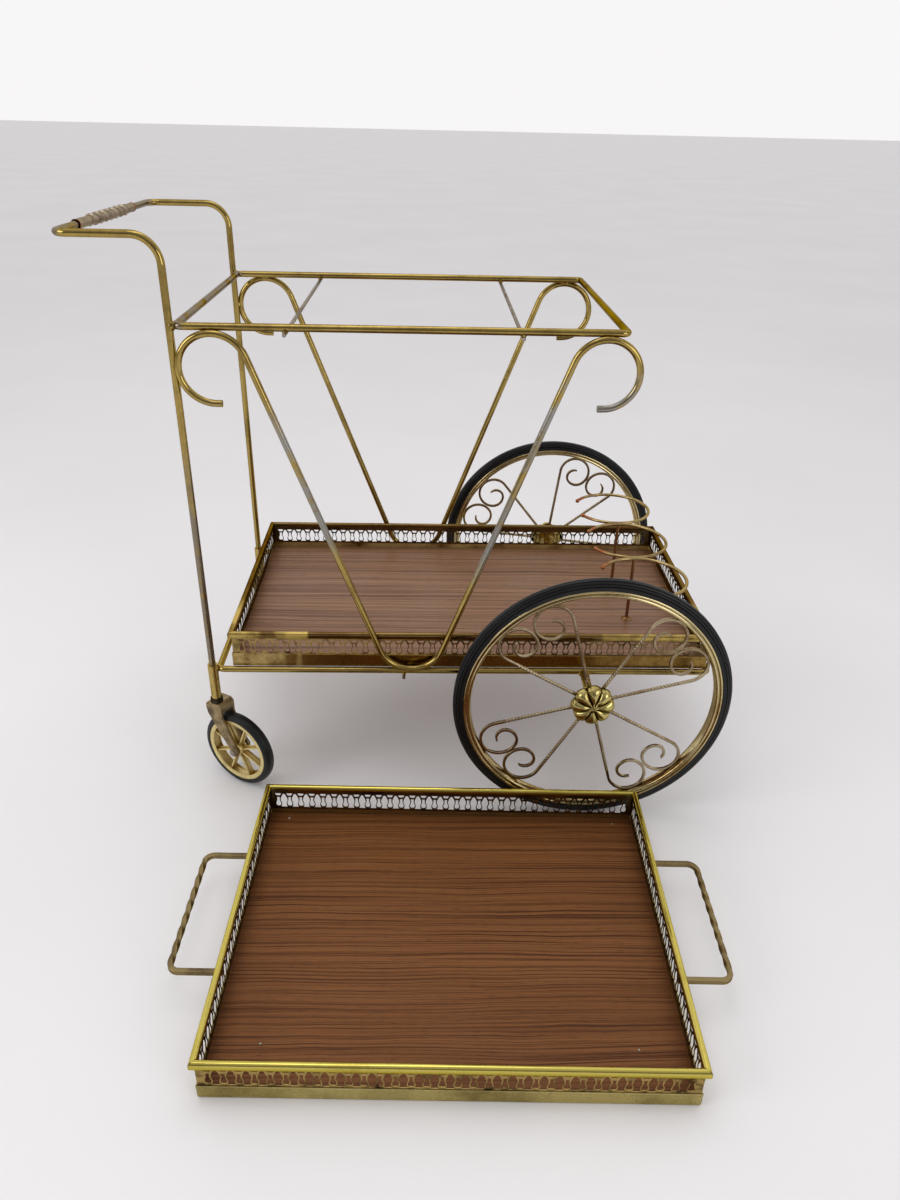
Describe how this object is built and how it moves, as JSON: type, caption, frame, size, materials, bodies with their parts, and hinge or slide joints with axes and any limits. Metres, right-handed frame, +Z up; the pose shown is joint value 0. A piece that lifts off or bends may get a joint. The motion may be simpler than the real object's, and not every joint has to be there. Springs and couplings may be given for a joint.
{
  "type": "bar cart",
  "caption": "Bar cart: bar frame with push handle, shelf with bottle rings, V scroll sides, spoked side wheels, swivel casters and a lift-off serving tray standing in front.",
  "frame": {"origin": "on the floor, in the middle of the box round the whole object, cart and tray", "axes": "+X from the handle end to the large wheel end, +Y from the tray in front to the back of the cart, +Z up"},
  "size_m": [0.7914, 0.9418, 0.726],
  "materials": {
    "bar_brass": "aged brass plating on round bar, satin to bright",
    "grip_metal": "spiral embossed sheet, copper brown and grey with age",
    "rod_steel": "bare grey steel where the plating has worn",
    "rail_brass": "bright yellow rolled strip",
    "shelf_rail_brass": "darker rolled strip",
    "moulding_brass": "plain strip, spotted",
    "gallery_brass": "pierced strip, brown with age",
    "shelf_laminate": "satin wood-grain laminate",
    "tray_laminate": "satin wood-grain laminate",
    "rack_wire": "worn brass plating on wire",
    "tyre_rubber": "black ribbed rubber",
    "rim_brass": "speckled brass channel",
    "spoke_metal": "twisted square bar, gold on the curls",
    "hub_brass": "fluted brass",
    "axle_steel": "plated steel",
    "cast_brass": "cast, brown with age",
    "dark_collar": "dark oiled metal",
    "caster_gold": "moulded wheel, cream gold",
    "handle_bar": "twisted bar, brown with age"
  },
  "bodies": {
    "cart": {"handle_frame": "bar_brass", "handle_grip": "grip_metal", "top_frame": "bar_brass", "top_cross_rods": "rod_steel", "lower_frame": "bar_brass", "lower_cross_rod": "rod_steel", "side_scroll_near": "bar_brass", "side_scroll_far": "bar_brass", "shelf_rail": "shelf_rail_brass", "shelf_moulding": "moulding_brass", "shelf_gallery_near": "gallery_brass", "shelf_gallery_far": "gallery_brass", "shelf_gallery_left": "gallery_brass", "shelf_gallery_right": "gallery_brass", "shelf_board": "shelf_laminate", "shelf_board_pins": "axle_steel", "rack_ring_near": "rack_wire", "rack_ring_middle": "rack_wire", "rack_ring_far": "rack_wire", "rack_posts": "rack_wire", "rack_flanges": "rack_wire", "axle_stub_near": "hub_brass", "axle_stub_far": "hub_brass", "axle_nut_near": "axle_steel", "axle_nut_far": "axle_steel", "caster_socket_near": "hub_brass", "caster_socket_far": "hub_brass"},
    "tray": {"tray_rail": "rail_brass", "tray_moulding": "moulding_brass", "tray_gallery_near": "gallery_brass", "tray_gallery_far": "gallery_brass", "tray_gallery_left": "gallery_brass", "tray_gallery_right": "gallery_brass", "tray_board": "tray_laminate", "tray_board_pins": "axle_steel", "tray_handle_left": "handle_bar", "tray_handle_right": "handle_bar"},
    "near_wheel": {"tyre_near": "tyre_rubber", "rim_near": "rim_brass", "spokes_near": "spoke_metal", "hub_near": "hub_brass", "hub_cap_near": "hub_brass"},
    "near_caster": {"caster_fork_near": "cast_brass", "caster_collar_near": "dark_collar", "caster_stem_near": "axle_steel", "caster_pin_near": "axle_steel"},
    "near_caster_wheel": {"caster_wheel_near": "caster_gold", "caster_tyre_near": "tyre_rubber"},
    "far_wheel": {"tyre_far": "tyre_rubber", "rim_far": "rim_brass", "spokes_far": "spoke_metal", "hub_far": "hub_brass", "hub_cap_far": "hub_brass"},
    "far_caster": {"caster_fork_far": "cast_brass", "caster_collar_far": "dark_collar", "caster_stem_far": "axle_steel", "caster_pin_far": "axle_steel"},
    "far_caster_wheel": {"caster_wheel_far": "caster_gold", "caster_tyre_far": "tyre_rubber"}
  },
  "joints": [
    {"name": "near_wheel_spin", "type": "hinge", "parent": "cart", "child": "near_wheel", "pos_m": [0.21705, -0.04859, 0.1787], "axis": [0, 1, 0], "continuous": true},
    {"name": "near_caster_swivel", "type": "hinge", "parent": "cart", "child": "near_caster", "pos_m": [-0.28035, 0.02171, 0.1348], "axis": [0, 0, 1], "continuous": true},
    {"name": "near_caster_roll", "type": "hinge", "parent": "near_caster", "child": "near_caster_wheel", "pos_m": [-0.25403, 0.01229, 0.056], "axis": [0.5, 0.866, 0], "continuous": true},
    {"name": "far_wheel_spin", "type": "hinge", "parent": "cart", "child": "far_wheel", "pos_m": [0.21705, 0.45341, 0.1787], "axis": [0, 1, 0], "continuous": true},
    {"name": "far_caster_swivel", "type": "hinge", "parent": "cart", "child": "far_caster", "pos_m": [-0.28035, 0.38311, 0.1348], "axis": [0, 0, 1], "continuous": true},
    {"name": "far_caster_roll", "type": "hinge", "parent": "far_caster", "child": "far_caster_wheel", "pos_m": [-0.25381, 0.39189, 0.056], "axis": [-0.1392, 0.9903, 0], "continuous": true},
    {"name": "tray_lift", "type": "slide", "parent": "cart", "child": "tray", "axis": [0, 0, 1], "range_m": [0, 0.64]}
  ]
}
